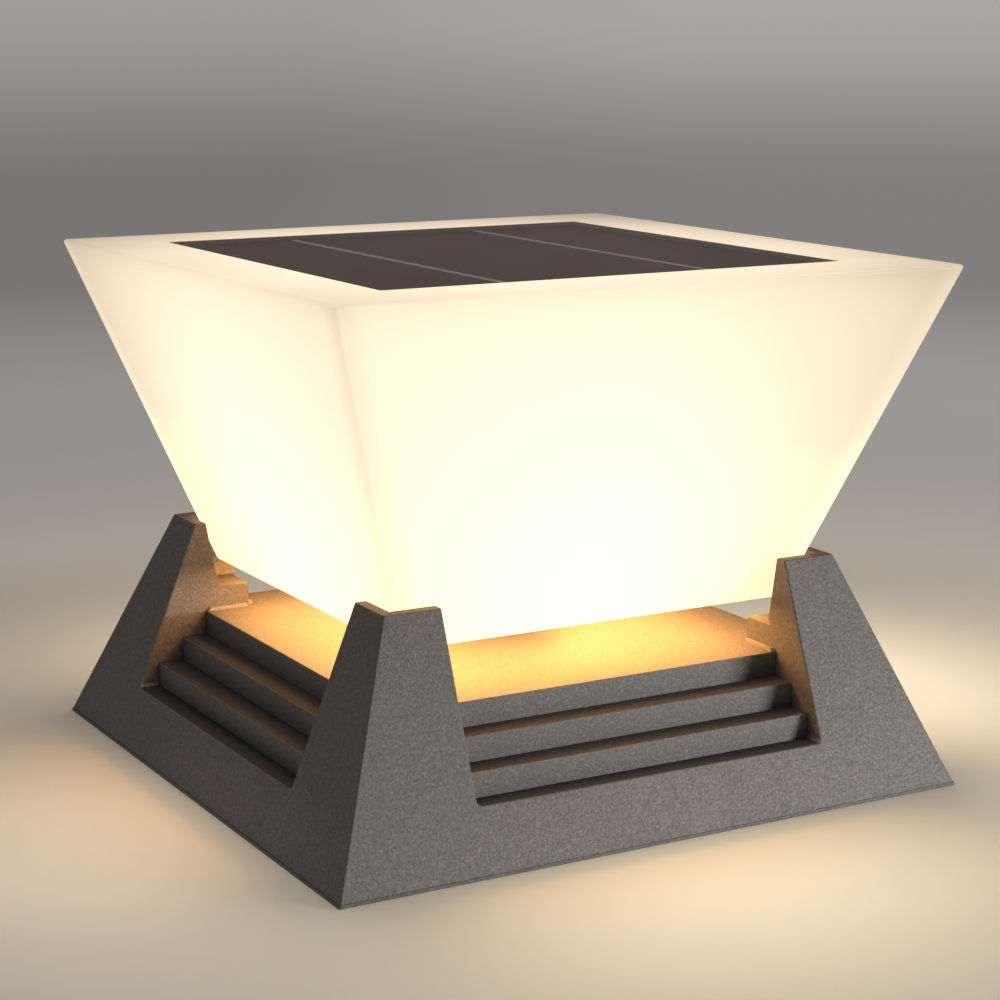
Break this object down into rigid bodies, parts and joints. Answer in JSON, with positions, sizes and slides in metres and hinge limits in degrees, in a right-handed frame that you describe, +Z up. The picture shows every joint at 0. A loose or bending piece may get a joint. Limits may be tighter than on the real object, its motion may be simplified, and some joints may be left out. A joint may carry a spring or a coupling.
{
  "type": "solar post light",
  "caption": "Square solar pillar light: a lit upside-down pyramid shade with a flush solar panel, over a stepped deck between the corner posts of a cast foot.",
  "frame": {"origin": "centre of the underside, on the surface the foot stands on", "axes": "+Z up through the shade, -Y towards the wide face in the picture, +X to that face's right"},
  "size_m": [0.3, 0.3, 0.2294],
  "materials": {
    "powder_coat": "matte",
    "frosted_shade": "matte",
    "panel_glass": "gloss",
    "solar_cell": "gloss",
    "silver_ribbon": "satin",
    "backsheet": "satin",
    "tape": "matte",
    "seal": "matte",
    "clear_seal": "matte",
    "zinc_steel": "satin",
    "stainless": "satin",
    "black_plastic": "matte",
    "button_red": "satin",
    "board_green": "satin",
    "board_parts": "satin",
    "socket_white": "satin",
    "battery_wrap": "satin",
    "nickel": "satin",
    "bare_aluminium": "satin",
    "board_white": "satin",
    "led_phosphor": "satin",
    "lead_sheath": "satin"
  },
  "bodies": {
    "root": {"base_frame": "powder_coat", "battery_cable": "lead_sheath", "battery_cells": "battery_wrap", "battery_contacts": "nickel", "battery_holder": "black_plastic", "battery_lid": "black_plastic", "board_parts": "board_parts", "board_screws": "stainless", "bottom_tray": "black_plastic", "cable_sockets": "socket_white", "cell_ribbons": "silver_ribbon", "controller_board": "board_green", "cover_screws": "stainless", "head_gasket": "seal", "junction_box": "black_plastic", "led_board": "board_white", "led_cable": "lead_sheath", "led_chips": "led_phosphor", "led_plate": "bare_aluminium", "led_screws": "stainless", "led_socket": "socket_white", "mounting_plate": "zinc_steel", "panel_backsheet": "backsheet", "panel_cable": "lead_sheath", "panel_glass": "panel_glass", "panel_seal": "seal", "panel_tape": "tape", "pedestal": "powder_coat", "pedestal_gasket": "seal", "pedestal_nut": "zinc_steel", "pedestal_washer": "zinc_steel", "plate_screws": "stainless", "plate_tabs": "zinc_steel", "shade": "frosted_shade", "solar_cells": "solar_cell", "stepped_cover": "powder_coat", "switch_body": "black_plastic", "switch_cable": "lead_sheath", "switch_nut": "black_plastic", "switch_seal": "seal", "top_cover": "frosted_shade", "top_seal": "clear_seal", "tray_gasket": "seal", "tray_screws": "stainless"},
    "button": {"power_button": "button_red"}
  },
  "joints": [
    {"name": "power_button_press", "type": "slide", "parent": "root", "child": "button", "axis": [0, 0, 1], "range_m": [0, 0.0015], "stiffness_N_per_m": 600, "springref_m": -0.002}
  ]
}
